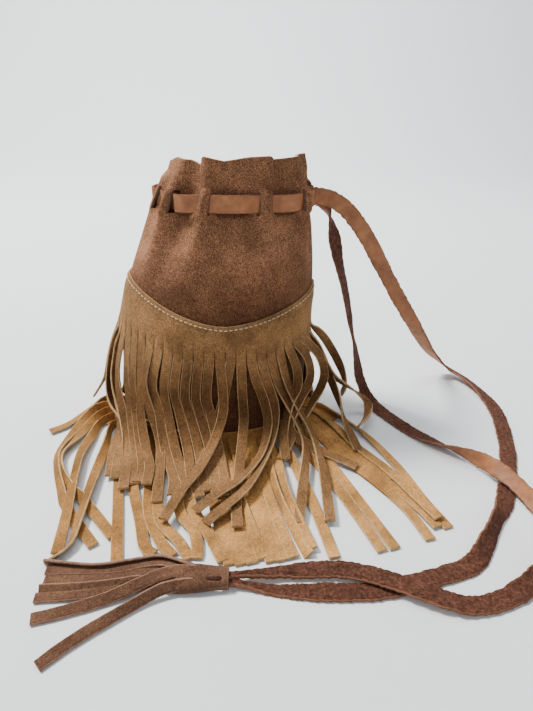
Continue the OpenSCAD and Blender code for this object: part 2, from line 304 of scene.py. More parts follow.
BASE_RX, BASE_RY, POUCH_H, LEAN = 71, 56, 205, 18
MID_X = [(0, 0), (85, 1), (120, 7), (150, 13), (178, LEAN), (POUCH_H, LEAN + 4)]
HALF_X = [(0, BASE_RX), (85, BASE_RX + 4), (120, BASE_RX - 1), (150, 63), (178, 57), (POUCH_H, 46)]
HALF_Y = [(0, BASE_RY), (85, BASE_RY - 1), (120, 49), (150, 42), (178, 36), (POUCH_H, 33)]


def eased(z, table):
    xs, ys = zip(*table)
    near = [z + d for d in (-18, -9, 0, 9, 18)]
    return float(np.dot(np.interp(near, xs, ys), (0.1, 0.25, 0.3, 0.25, 0.1)))


def wall(a, z, out=0.0):
    """A point of the pouch's outer face at angle a in degrees and height z."""
    c, s = math.cos(math.radians(a)), math.sin(math.radians(a))
    return np.array([eased(z, MID_X) + (eased(z, HALF_X) + out) * c, (eased(z, HALF_Y) + out) * s, z])


def wall_normal(a, z):
    u = wall(a + 0.5, z) - wall(a - 0.5, z)
    v = wall(a, z + 1) - wall(a, z - 1)
    n = np.cross(u, v)
    return n / np.linalg.norm(n)


def bell(x, middle, width):
    return math.exp(-((x - middle) / width) ** 2)


def turn(a, c):
    """Signed angle from c to a, between -180 and 180 degrees."""
    return (a - c + 180) % 360 - 180


def smoothstep(x, lo, hi):
    """Eases from 0 at lo to 1 at hi. lo may be the larger."""
    t = min(1.0, max(0.0, (x - lo) / (hi - lo)))
    return t * t * (3 - 2 * t)


# ---------------------------------------------------------------- mesh helpers


def make_object(name, points, faces, materials, kinds=None, sharp=35):
    """A smooth mesh object from points in mm. kinds gives each face's material number, and
    edges that turn more than sharp degrees stay sharp."""
    mesh = bpy.data.meshes.new(name)
    mesh.from_pydata([tuple(float(c) * MM for c in p) for p in points], [], faces)
    for material in materials:
        mesh.materials.append(material)
    if kinds is not None:
        mesh.polygons.foreach_set("material_index", kinds)
    mesh.polygons.foreach_set("use_smooth", [True] * len(faces))
    mesh.validate()
    mesh.update()
    mesh.set_sharp_from_angle(angle=math.radians(sharp))
    return new_object(name, mesh)


def sheet_faces(cols, rows, here, edge_cell=None):
    """Faces and kinds of a two-layer sheet of cols x rows points a layer. here says which
    cells are leather. Kind 0 is its surface, and 1 a cut edge or an edge_cell, which takes the
    second material: a pale cut edge, or round the body's slits their dark painted shade."""
    under = cols * rows
    faces, kinds = [], []

    def vid(i, j):
        return i * rows + j

    def held(i, j):
        return 0 <= i < cols - 1 and 0 <= j < rows - 1 and here(i, j)

    def put(face, kind):
        faces.append(face)
        kinds.append(kind)

    for i in range(cols - 1):
        for j in range(rows - 1):
            if not held(i, j):
                continue
            # the second material: a pale cut edge, or round the body's slits their painted shade
            pale = 1 if edge_cell and edge_cell(i, j) else 0
            a, b, c, d = vid(i, j), vid(i + 1, j), vid(i + 1, j + 1), vid(i, j + 1)
            put((a, b, c, d), pale)
            put((under + a, under + d, under + c, under + b), pale)
            # a wall where the cell beside this one is not leather
            for di, dj, p, q in ((-1, 0, a, d), (1, 0, c, b), (0, -1, b, a), (0, 1, d, c)):
                if not held(i + di, j + dj):
                    put((p, q, under + q, under + p), 1)
    return faces, kinds


def drop_loose(points, faces):
    """Leaves out points that no face uses."""
    used = sorted({k for f in faces for k in f})
    new = {k: i for i, k in enumerate(used)}
    return [points[k] for k in used], [tuple(new[k] for k in f) for f in faces]


def tube_faces(first, rings, count):
    """Faces of a tube with closed ends, of rings of count points that are numbered from first."""
    faces = []
    for i in range(rings - 1):
        a = first + i * count
        b = a + count
        for k in range(count):
            k2 = (k + 1) % count
            faces.append((a + k, a + k2, b + k2, b + k))
    faces.append(tuple(first + k for k in reversed(range(count))))
    faces.append(tuple(first + (rings - 1) * count + k for k in range(count)))
    return faces


def run_along(line):
    """How far it is along the line to each of its points."""
    return np.concatenate([[0], np.cumsum(np.linalg.norm(np.diff(line, axis=0), axis=1))])


def directions(line):
    along = np.gradient(line, axis=0)
    return along / np.linalg.norm(along, axis=1)[:, None]


def across(direction):
    """The level direction to the side of a line, and the one square to both."""
    side = np.cross(direction, (0, 0, 1))
    side /= np.linalg.norm(side)
    return side, np.cross(side, direction)


def stand_in(piece, body, node):
    """The piece moves with body and stands for the CAD's node."""
    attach(piece, body)
    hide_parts(node)


# ---------------------------------------------------------------- drawstring ends

STRAP_W, STRAP_T = 12.0, 1.8
# Where the two ends leave the neck, in metres.
EXIT_X, EXIT_Y, EXIT_Z = 0.0745, 0.002, 0.1785

# Routes as in part.scad, but for the last point, which runs into the tassel's head: x, y and z
# in mm, and how far the strap is rolled over, in degrees (90 lies flat, 0 stands on edge).
ROUTE_A = [
    (48, -2, 178.5, 0), (62, -2, 178.5, 0), (78, -2, 178, 0), (94, 0, 173, -5), (108, 5, 160, 5),
    (121, 11, 142, 15), (134, 18, 121, 20), (148, 25, 98, 22), (163, 32, 75, 32),
    (178, 40, 52, 52), (192, 48, 31, 72), (206, 54, 16, 80), (218, 52, 7, 70), (227, 40, 5, 64),
    (234, 22, 3.2, 66), (238, 0, 1.3, 84), (236, -24, 1.1, 90), (230, -50, 1.1, 90),
    (222, -76, 1.1, 90), (211, -102, 1.1, 90), (200, -124, 2, 78), (188, -142, 5.4, 36),
    (173, -163, 4.4, 50), (161, -176, 1.6, 80), (144, -183, 1.1, 90), (124, -189, 1.1, 90),
    (104, -194, 1.1, 90), (82, -195, 1.1, 90), (60, -194.5, 1.1, 90), (42, -193, 1.1, 90),
    (18, -189, 3.4, 90),
]
ROUTE_B = [
    (48, 2, 178.5, 0), (62, 2, 178.5, 0), (75, 2, 178, 10), (85, 7, 170, 60), (92, 8, 153, 115),
    (98, 6, 128, 118), (105, 6, 102, 120), (111, 7, 76, 124), (117, 9, 50, 114), (122, 8, 26, 104),
    (129, 3, 9, 94), (137, -7, 2, 90), (147, -24, 1.1, 90), (160, -44, 1.3, 88),
    (174, -62, 3.6, 66), (188, -79, 7.2, 20), (201, -95, 8.8, -34), (211, -111, 7, -66),
    (218, -128, 3.6, -70), (219, -148, 5.2, -50), (211, -168, 7, 0), (194, -186, 4.6, 58),
    (174, -198, 1.6, 86), (153, -204, 1.8, 90), (134, -201, 4.4, 90), (117, -193, 4.6, 90),
    (101, -186, 4, 90), (84, -181, 2.8, 90), (64, -181, 2.4, 90), (42, -184, 3.7, 90),
    (18, -188, 5.4, 90),
]


def catmull(route, steps):
    pts = np.array(route, float)
    out = []
    for i in range(len(pts) - 1):
        a, b, c, d = pts[max(i - 1, 0)], pts[i], pts[i + 1], pts[min(i + 2, len(pts) - 1)]
        for k in range(steps):
            t = k / steps
            out.append(0.5 * (2 * b + (c - a) * t + (2 * a - 5 * b + 4 * c - d) * t * t
                              + (3 * b - a - 3 * c + d) * t ** 3))
    out.append(pts[-1])
    return np.array(out)


def strap_section(half_w, half_t, fray):
    """Corners of a strap's section, counter-clockwise, with rounded edges. fray moves the
    two edges a little in or out."""
    bevel = half_t * 0.55
    left, right = half_w + fray[0], half_w + fray[1]
    flat = [right - bevel, right * 0.5, 0, -left * 0.5, -(left - bevel)]
    top = [(right, 0.45 * half_t)] + [(x, half_t) for x in flat] + [(-left, 0.45 * half_t)]
    bottom = [(-left, -0.45 * half_t)] + [(x, -half_t) for x in reversed(flat)]
    return top + bottom + [(right, -0.45 * half_t)]


SECTION_COUNT = 14
# Faces of one span of strap_section that are its upper and its lower side.
UPPER_SIDE, LOWER_SIDE = range(1, 5), range(8, 12)


def strap_mesh(name, path, seed):
    """A flat strap along path rows of (x, y, z, roll). Its last part curls up narrow where it
    enters the tassel."""
    rng = random.Random(seed)
    half_w, half_t, rough = STRAP_W / 2, STRAP_T / 2, 0.42
    curl_from, curl_to = 60, 4
    xyz = path[:, :3]
    along = directions(xyz)
    run = run_along(xyz)
    points = []
    fray = [0.0, 0.0]
    for i, p in enumerate(xyz):
        side, rise = across(along[i])
        roll = math.radians(path[i, 3])
        wide = side * math.sin(roll) + rise * math.cos(roll)
        thin = np.cross(along[i], wide)
        fray = [0.25 * edge + rng.uniform(-rough, rough) for edge in fray]
        curl = smoothstep(run[-1] - run[i], curl_from, curl_to)
        for u, v in strap_section(half_w * (1 - 0.62 * curl), half_t * (1 + 0.7 * curl), fray):
            arch = curl * (0.9 - abs(u) * 0.4)
            points.append(p + wide * u + thin * v + rise * arch)
    span = [0 if k in UPPER_SIDE else 1 if k in LOWER_SIDE else 2 for k in range(SECTION_COUNT)]
    kinds = span * (len(xyz) - 1) + [2, 2]
    faces = tube_faces(0, len(xyz), SECTION_COUNT)
    return make_object(name, points, faces, [GRAIN, FLESH, STRAP_EDGE], kinds, sharp=50)


def add_drawstring_ends():
    """Each end's piece, its middle line in metres and the point where it leaves the neck."""
    made = []
    for letter, route, exit_y, seed in (("a", ROUTE_A, -EXIT_Y, 5), ("b", ROUTE_B, EXIT_Y, 6)):
        path = catmull(route, 16)
        strap = strap_mesh("drawstring_" + letter, path, seed)
        stand_in(strap, "drawstring_ends", "drawstring_end_" + letter)
        made.append((strap, path[:, :3] * MM, (EXIT_X, exit_y, EXIT_Z)))
    return made


# ---------------------------------------------------------------- body and collar

SKIN = 1.8
FRONT_LOOPS = [190, 220, 252, 294, 332]
BACK_LOOPS = [20, 66, 108, 152]
LOOPS = FRONT_LOOPS + BACK_LOOPS
LOOP_HALF = 3.6
SLIT = 0.6
# Slits that gape: the loop they are beside and how wide they stand open.
GAPING = {190: 3.0, 220: 2.8}
# Loops that stand out less than the rest.
FLAT_LOOPS = {190: 0.25, 220: 0.8}
STRAP_Z = 178.5
SLIT_LOW, SLIT_HIGH = STRAP_Z - 7.6, STRAP_Z + 7.4
BODY_FOOT, COLLAR_FOOT = 2.4, 188.5
NECK_R = 47
# Half of the gap where the ends of the drawstring leave, in degrees either side of 0.
EXIT_GAP = 5.5


def arc_gap(a, c):
    """Signed distance along the neck, in mm, from angle c to angle a."""
    return turn(a, c) * math.pi / 180 * NECK_R


def folds(a, z):
    """How far gathers push the suede out: ridges under the belt loops, hollows between."""
    grow = smoothstep(z, 104, 168) * (1 - 0.5 * smoothstep(z, 187, 204))
    gathers = 0.0
    for c in LOOPS:
        s = arc_gap(a, c) + 1.5 * (1 - grow)
        high = FLAT_LOOPS.get(c, 1.0)
        gathers += 3.3 * high * bell(s, 0, 4.6 + 4.0 * (1 - grow))
        gathers -= 2.0 * high * bell(s, 11, 5.5)
        gathers -= 0.8 * high * bell(s, -11, 6.0)
    # the drawstring presses in between the loops, deepest along its lower edge
    nearest = min(abs(arc_gap(a, c)) for c in LOOPS)
    between = smoothstep(nearest, 4, 10)
    pressed = (2.4 * bell(z, STRAP_Z - 3, 9.5) + 2.6 * bell(z, STRAP_Z - 5.9, 2.6)) * between
    soft = 0.9 * math.sin(math.radians(a * 3 + z * 1.4)) * smoothstep(z, 90, 120)
    soft += 0.6 * math.sin(math.radians(a * 7 - z * 2.2 + 40)) * smoothstep(z, 100, 140)
    return gathers * grow - pressed + soft


def slit_width(c, s):
    """Width of the slit beside loop c, on its left where s is negative and on its right."""
    return GAPING.get(c, SLIT) if s > 0 else SLIT


def post_lift(a, z):
    """A belt loop stands out over the drawstring between its two slits."""
    for c in LOOPS:
        s = abs(arc_gap(a, c))
        if s < LOOP_HALF + 0.05:
            rise = smoothstep(z, SLIT_LOW - 4, SLIT_LOW + 1.5)
            rise *= 1 - smoothstep(z, SLIT_HIGH - 1.5, SLIT_HIGH + 3.5)
            return rise * (3.0 - 1.0 * (s / LOOP_HALF) ** 2) * FLAT_LOOPS.get(c, 1.0)
    return 0.0


def body_point(a, z, out=0.0):
    return wall(a, z, folds(a, z) + post_lift(a, z) + out)


def body_columns():
    """Angles round the pouch: even steps, with extra columns along every slit."""
    marks = []
    for c in LOOPS:
        for s in (-1, 1):
            gap = slit_width(c, s)
            for d in (LOOP_HALF - 0.3, LOOP_HALF, LOOP_HALF + gap, LOOP_HALF + gap + 0.3):
                marks.append((c + s * d / NECK_R * 180 / math.pi) % 360)
    steps = [k * 1.5 for k in range(240)]
    keep = [a for a in steps if min(abs(turn(a, m)) for m in marks) > 0.5]
    return sorted(keep + marks)


def slit_zone(a, margin):
    """True within margin mm of a slit, measured round the neck."""
    for c in LOOPS:
        s = arc_gap(a, c)
        if LOOP_HALF - margin < abs(s) < LOOP_HALF + slit_width(c, s) + margin:
            return True
    return False


def body_rows():
    """Heights of the body's rows of points, close together round the drawstring."""
    return list(np.concatenate([
        np.linspace(BODY_FOOT, 20, 4), np.linspace(26, 96, 12), np.linspace(100, 166, 24),
        np.linspace(168, SLIT_LOW, 4), np.linspace(SLIT_LOW + 1, SLIT_HIGH - 1, 10),
        np.linspace(SLIT_HIGH, COLLAR_FOOT, 4)]))


def add_body():
    rows = body_rows()
    columns = body_columns()
    made = []
    for side, start, end in (("back", 0.0, 180.0), ("front", 180.0, 360.0)):
        inner = [a for a in columns if a - start > 0.3 and end - a > 0.3]
        cols = [start] + inner + [end]
        face = [body_point(a, z) for a in cols for z in rows]
        back = [body_point(a, z, -SKIN) for a in cols for z in rows]

        def cell(i, j, margin):
            """A cell's angle, if it is as high as the slits, and if it is in or beside one."""
            a = (cols[i] + cols[i + 1]) / 2
            level = SLIT_LOW < (rows[j] + rows[j + 1]) / 2 < SLIT_HIGH
            return a, level, level and slit_zone(a, margin)

        def here(i, j):
            a, level, in_slit = cell(i, j, 0)
            # both ends of the drawstring come out through a gap at the right
            in_gap = level and abs(turn(a, 0)) < EXIT_GAP
            return not in_slit and not in_gap

        def rim(i, j):
            # the slit's dark painted shade also covers the face just beside it, where the sides of a slit are
            # seen past its rim
            return cell(i, j, 0.3)[2]

        faces, kinds = sheet_faces(len(cols), len(rows), here, rim)
        points, faces = drop_loose(face + back, faces)
        piece = make_object(side + "_body", points, faces, [BODY, SLIT_SHADE], kinds)
        stand_in(piece, "pouch", side + "_body_panel")
        made.append(piece)
    return made


def add_base():
    """The flat suede bottom, sewn in at the foot of the body."""
    cols, rows = 73, 9
    top, under = [], []
    for i in range(cols):
        foot = wall(i * 5, BODY_FOOT, -0.6)
        for j in range(rows):
            share = 0.02 + 0.98 * j / (rows - 1)
            rise = 0.25 * math.sin(math.radians(i * 25)) * share * (1 - share)
            top.append(np.array([foot[0] * share, foot[1] * share, 1.7 + rise]))
            under.append(np.array([foot[0] * share, foot[1] * share, 0.2]))
    faces, kinds = sheet_faces(cols, rows, lambda i, j: True)
    piece = make_object("base_suede", under + top, faces, [BODY, BODY_EDGE], kinds)
    stand_in(piece, "pouch", "base_panel")
    return piece


# Collar lobes: start and end angle, which ends lie over (1) or under (-1) a neighbour, and
# rim heights. The rim dips at the back.
COLLARS = {
    "collar_front": (246.5, 296, 1, 1, (208.5, 205, 207.4, 208.5)),
    "collar_front_left": (180, 250, 1, -1, (201.6, 205.5, 205, 199)),
    "collar_back_left": (108, 180, -1, -1, (195, 196.5, 199, 203)),
    "collar_back": (66, 108, 1, 1, (197, 195.5, 195.5, 197)),
    "collar_back_right": (0, 66, -1, -1, (203.6, 199.4, 196.5, 195)),
    "collar_front_right": (294, 360, -1, 1, (205.6, 206, 206.6, 207)),
}


COLLAR_LAP = 4.4


def lobe_point(u, r, start, end, first, last, rim):
    """Angle, height and push outwards of a lobe's point: u runs from 0 to 1 along the lobe,
    and r from its foot to its rim."""
    top = np.interp(u, (0, 1 / 3, 2 / 3, 1), rim)
    # the corners of the outer lobes are round
    corner = min(u if first > 0 else 1, (1 - u) if last > 0 else 1)
    top -= 1.6 * bell(corner, 0, 0.03)
    z = COLLAR_FOOT + (top - COLLAR_FOOT) * r
    grow = smoothstep(r, -0.1, 0.6)
    a0 = start - COLLAR_LAP * grow
    a1 = end + COLLAR_LAP * grow
    a = a0 + (a1 - a0) * u
    shift = 0.0
    for sign, gap in ((first, a - a0), (last, a1 - a)):
        shift += 2.2 * bell(gap, 3, 5) if sign > 0 else -3.4 * bell(gap, 0, 8)
    flare = 1.2 * math.sin(math.radians((a - start) / (end - start) * 360 + 30))
    # the left side of the collar leans in
    flare -= 4.5 * bell(turn(a, 184), 0, 26) * grow
    return a, z, folds(a, z) + grow * (shift + flare - r)


def add_collars():
    made = []
    for name, shape in COLLARS.items():
        start, end = shape[:2]
        count = int(end - start)
        rows = np.linspace(0, 1, 14)
        grid = [lobe_point(i / count, r, *shape) for i in range(count + 1) for r in rows]
        face = [wall(a, z, out) for a, z, out in grid]
        back = [wall(a, z, out - SKIN * 0.9) for a, z, out in grid]
        faces, kinds = sheet_faces(count + 1, len(rows), lambda i, j: True)
        piece = make_object(name + "_suede", face + back, faces, [BODY, BODY_EDGE], kinds)
        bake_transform(piece)
        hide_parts(name)
        made.append(piece)
    return made


def add_neck_run():
    """The drawstring's run round the neck: on edge, tight over the hollows, under the loops."""
    half_w, half_t = STRAP_W / 2, STRAP_T / 2
    widths = np.array([-half_w, -half_w + 0.5, -half_w * 0.4, half_w * 0.4, half_w - 0.5, half_w])
    face, back = [], []
    first, count = 8.0, 345
    for k in range(count):
        a = first + k
        nearest = min(abs(arc_gap(a, c)) for c in LOOPS)
        out = 0.1 + 1.5 * smoothstep(nearest, 4, 13)
        # between the gaping slits the drawstring runs inside the pouch
        out -= 5.4 * smoothstep(a, 178, 186) * smoothstep(a, 229, 222)
        x, y, z = wall(a, STRAP_Z - 0.3 + 0.6 * math.sin(math.radians(3 * a)), out)
        n = wall_normal(a, z)
        n[2] = 0
        n /= np.linalg.norm(n)
        for w in widths:
            thin = 0.55 if abs(w) > half_w - 0.1 else 1.0
            face.append(np.array([x, y, z + w]) + n * half_t * (1 + thin))
            back.append(np.array([x, y, z + w]) + n * half_t * (1 - thin))
    edges = (0, len(widths) - 2)
    faces, kinds = sheet_faces(count, len(widths), lambda i, j: True, lambda i, j: j in edges)
    piece = make_object("drawstring_neck", face + back, faces, [GRAIN, STRAP_EDGE], kinds)
    stand_in(piece, "pouch", "drawstring_neck_run")


# ---------------------------------------------------------------- fringe

# Heights of the yoke's lowest point and of its lowest cut, and how far it lies off the body.
YOKE_DIP, SLIT_TOP = 97, 79
YOKE_OUT = 1.2
# The lower fringe's band runs between these heights.
BAND_HEAD, BAND_FOOT = 10.0, 6.0


def skewed(a):
    """Cosine of the angle from the yoke's lowest point, which is a little right of the middle."""
    return math.cos(math.radians(a + (8 if a < 180 else -8)))


def yoke_top(a):
    c = skewed(a)
    return YOKE_DIP + (26 if c < 0 else 18) * abs(c) ** 1.6


def slit_top(a):
    c = skewed(a)
    return SLIT_TOP + (16 if c < 0 else 9) * c * c


def arc_angles(z, start, end, count):
    """count + 1 angles that cut the wall at height z into equal lengths."""
    fine = np.linspace(start, end, 721)
    run = run_along([wall(a, z) for a in fine])
    return np.interp(np.linspace(0, run[-1], count + 1), run, fine)


def off_wall(p):
    """Roughly how far a point is outside the pouch."""
    rx, ry = eased(p[2], HALF_X), eased(p[2], HALF_Y)
    x, y = p[0] - eased(p[2], MID_X), p[1]
    share = math.hypot(x / rx, y / ry)
    return (share - 1) * math.hypot(x, y) / max(share, 0.01)


def push_out(p, least):
    gap = off_wall(p)
    if gap < least:
        centre = np.array([eased(p[2], MID_X), 0, p[2]])
        away = p - centre
        p = centre + away * (1 + (least - gap) / max(np.linalg.norm(away), 1))
    return p


def strip_frames(line, twist, root_normal):
    """The width direction and the face normal at each step of a strip. twist is how far it
    turns on the way, at its tip and, if a third is given, from its root on, in degrees."""
    midway, tip, *early = twist
    early = early[0] if early else 0
    along = directions(line)
    w = np.cross(along[0], root_normal)
    w /= np.linalg.norm(w)
    frames = []
    for j, ahead in enumerate(along):
        t = j / (len(line) - 1)
        # carry the width vector along the line, then turn it towards lying flat
        w = w - ahead * np.dot(w, ahead)
        w /= np.linalg.norm(w)
        flat = np.cross(ahead, (0, 0, 1))
        level = np.linalg.norm(flat)
        if level > 0.25 and j > 2:
            flat /= level
            if np.dot(flat, w) < 0:
                flat = -flat
            w = w + flat * 0.35 * smoothstep(t, 0.1, 0.5) * level
            w /= np.linalg.norm(w)
        degrees = midway * math.sin(math.pi * t) ** 2 + tip * smoothstep(t, 0.25, 1.0)
        degrees += early * smoothstep(j, 1, 6) * (1 - smoothstep(t, 0.5, 0.9))
        angle = math.radians(degrees)
        side = w * math.cos(angle) + np.cross(ahead, w) * math.sin(angle)
        frames.append((side, np.cross(side, ahead)))
    return frames


def comb_mesh(name, start, end, top_of, slit_of, strips, thick, materials, band_rows, joined):
    """A yoke and its strips as one leather sheet. strips[k] is (line, twist). joined[k] is how
    many steps further strip k stays uncut from the next."""
    gap = 0.35
    angles = arc_angles(slit_of(270), start, end, STRIPS)
    cols, rows = STRIPS * 4, band_rows + STRIP_STEPS
    half = thick / 2
    bevel = half * 0.55
    face = np.zeros((cols, rows, 3))
    back = np.zeros((cols, rows, 3))

    def put(i, j, middle, normal, slim):
        face[i, j] = middle + normal * slim
        back[i, j] = middle - normal * slim

    for k, (line, twist) in enumerate(strips):
        a0, a1 = angles[k], angles[k + 1]
        pitch = np.linalg.norm(wall(a1, SLIT_TOP) - wall(a0, SLIT_TOP))
        middle_a = (a0 + a1) / 2
        frames = strip_frames(line, twist, wall_normal(middle_a, slit_of(middle_a)))
        # four columns: edge, inside edge, inside edge, edge
        us = [gap / 2, gap / 2 + 0.4, pitch - gap / 2 - 0.4, pitch - gap / 2]
        for c, u in enumerate(us):
            i = k * 4 + c
            a = a0 + (a1 - a0) * u / pitch
            for j in range(band_rows):
                share = (0.55 / (top_of(a) - slit_of(a)) if j == 1 else j / band_rows)
                z = top_of(a) + (slit_of(a) - top_of(a)) * share
                n = wall_normal(a, z)
                out = YOKE_OUT + band_puff(share) + fold_share(a, z)
                put(i, j, wall(a, z) + n * out, n, half - (bevel if j == 0 else 0))
            for j, (side, n) in enumerate(frames):
                m = line[j] - side * (u - pitch / 2)
                # the first steps leave the wall smoothly
                blend = smoothstep(j, 0, 3)
                if blend < 1:
                    z = slit_of(a) - (line[0][2] - line[j][2])
                    wn = wall_normal(a, z)
                    on_wall = wall(a, z) + wn * (YOKE_OUT + fold_share(a, z))
                    m = on_wall * (1 - blend) + m * blend
                    n = wn * (1 - blend) + n * blend
                    n /= np.linalg.norm(n)
                cut = bevel * smoothstep(j, -0.5, 1.5) if c in (0, 3) else 0
                put(i, band_rows + j, m, n, half - cut)

    def here(i, j):
        return i % 4 != 3 or j < band_rows + joined.get(i // 4, 0)

    def rim(i, j):
        beside = i // 4 - (1 if i % 4 == 0 else 0)
        return i % 4 in (0, 2) and j > band_rows + 1 + joined.get(beside, 0)

    # the grid runs left to right and top to bottom, so sheet_faces needs the back first
    faces, kinds = sheet_faces(cols, rows, here, rim)
    points, faces = drop_loose(list(back.reshape(-1, 3)) + list(face.reshape(-1, 3)), faces)
    return make_object(name, points, faces, materials, kinds, sharp=40)


def band_puff(t):
    """The yoke swells a little below its sewn edge."""
    return 0.5 * math.sin(math.pi * min(1.0, t * 1.6)) ** 2


def fold_share(a, z):
    """How much of the body's folds shows through the yoke."""
    return 0.5 * folds(a, z) if z > 80 else 0.0


# Front strips from left to right: the points each passes after its root, in mm, then its
# twist on the way, at its tip and, for a few, from its root on, in degrees.
UPPER_FRONT = [
    ([(-83, 0, 67), (-89, 1, 50), (-96, 3, 27), (-108, 4, 8)], 0, 0),
    ([(-80, -7, 66), (-85, -10, 48), (-88, -15, 25), (-85, -24, 14), (-76, -40, 8), (-74, -64, 5),
      (-68, -100, 4)], 0, 0, 70),
    ([(-78, -15, 56), (-81, -21, 36), (-75, -40, 12), (-68, -74, 6), (-63, -104, 5)], 0, 0, 75),
    ([(-76, -21, 52), (-76, -29, 32), (-67, -52, 10), (-60, -84, 5), (-55, -115, 5)], 0, 0),
    ([(-67, -31, 50), (-65, -41, 26), (-58, -66, 9), (-52, -90, 4), (-49, -109, 4)], 0, 0),
    ([(-61, -37, 48), (-59, -48, 24), (-52, -72, 9), (-46, -94, 6), (-47, -108, 5)], 0, 5),
    ([(-54, -43, 48), (-54, -53, 22), (-47, -76, 8), (-41, -94, 7), (-40, -112, 6)], 0, 0),
    ([(-50, -49, 52), (-46, -56, 32), (-40, -64, 18), (-36, -76, 9), (-33, -102, 5), (-30, -128, 5)], 14, 0),
    ([(-43, -51, 50), (-39, -57, 32), (-33, -76, 10), (-23, -102, 4), (-21, -120, 4)], 0, 0),
    ([(-34, -54, 48), (-32, -59, 30), (-25, -78, 10), (-15, -104, 4), (-6, -124, 4)], 0, 0),
    ([(-26, -57, 48), (-23, -61, 32), (-16, -78, 10), (-10, -104, 5), (-2, -122, 4)], 0, 0),
    ([(-18, -59, 46), (-15, -62, 30), (-8, -78, 10), (-3, -100, 4), (2, -116, 4)], 0, 0),
    ([(-10, -60, 45), (-7, -64, 30), (0, -78, 11), (5, -100, 4), (9, -122, 4)], 0, 0),
    ([(-2, -60, 45), (1, -64, 30), (7, -79, 11), (12, -100, 4), (14, -120, 4)], 8, 0),
    ([(10, -60, 50), (10, -66, 34), (4, -78, 18), (-5, -100, 10), (-14, -120, 9), (-22, -147, 8)], 6, 0),
    ([(12, -58, 50), (8, -62, 34), (0, -76, 12), (-7, -98, 5), (-12, -118, 4)], 0, 0),
    ([(24, -58, 48), (25, -65, 26), (23, -90, 8), (22, -124, 5), (24, -150, 5)], 0, 0),
    ([(34, -54, 56), (41, -57, 36), (43, -64, 20), (37, -86, 10), (23, -111, 9), (10, -124, 9),
      (-3, -139, 8)], 36, 0),
    ([(42, -52, 54), (48, -56, 34), (47, -66, 17), (41, -86, 9), (29, -118, 9), (14, -137, 8),
      (4, -148, 6)], 40, 0),
    ([(50, -47, 50), (60, -50, 28), (69, -62, 13), (71, -78, 9), (66, -118, 6), (62, -146, 4)], -40, 0),
    ([(57, -44, 50), (66, -47, 28), (77, -62, 12), (81, -92, 9), (82, -120, 6), (82, -144, 4)], -36, 0),
    ([(65, -36, 56), (66, -40, 42), (60, -48, 30), (55, -64, 14), (56, -84, 6)], 40, 0),
    ([(74, -28, 60), (76, -32, 44), (67, -44, 30), (60, -58, 17), (68, -66, 10), (92, -80, 5),
      (107, -90, 4)], 30, 0),
    ([(84, -20, 58), (88, -23, 40), (78, -36, 23), (68, -50, 14), (60, -66, 10), (53, -84, 6)], 50, 0),
    ([(88, -14, 52), (98, -10, 34), (117, -7, 18), (127, -12, 11), (124, -30, 8),
      (114, -46, 8)], 0, 60, -60),
    ([(84, -10, 60), (92, -9, 40), (101, -20, 19), (105, -40, 9), (111, -70, 4)], -30, 0, -60),
    ([(90, 0, 64), (104, 4, 38), (110, 6, 18), (108, 8, 7)], -20, 0, -70),
]
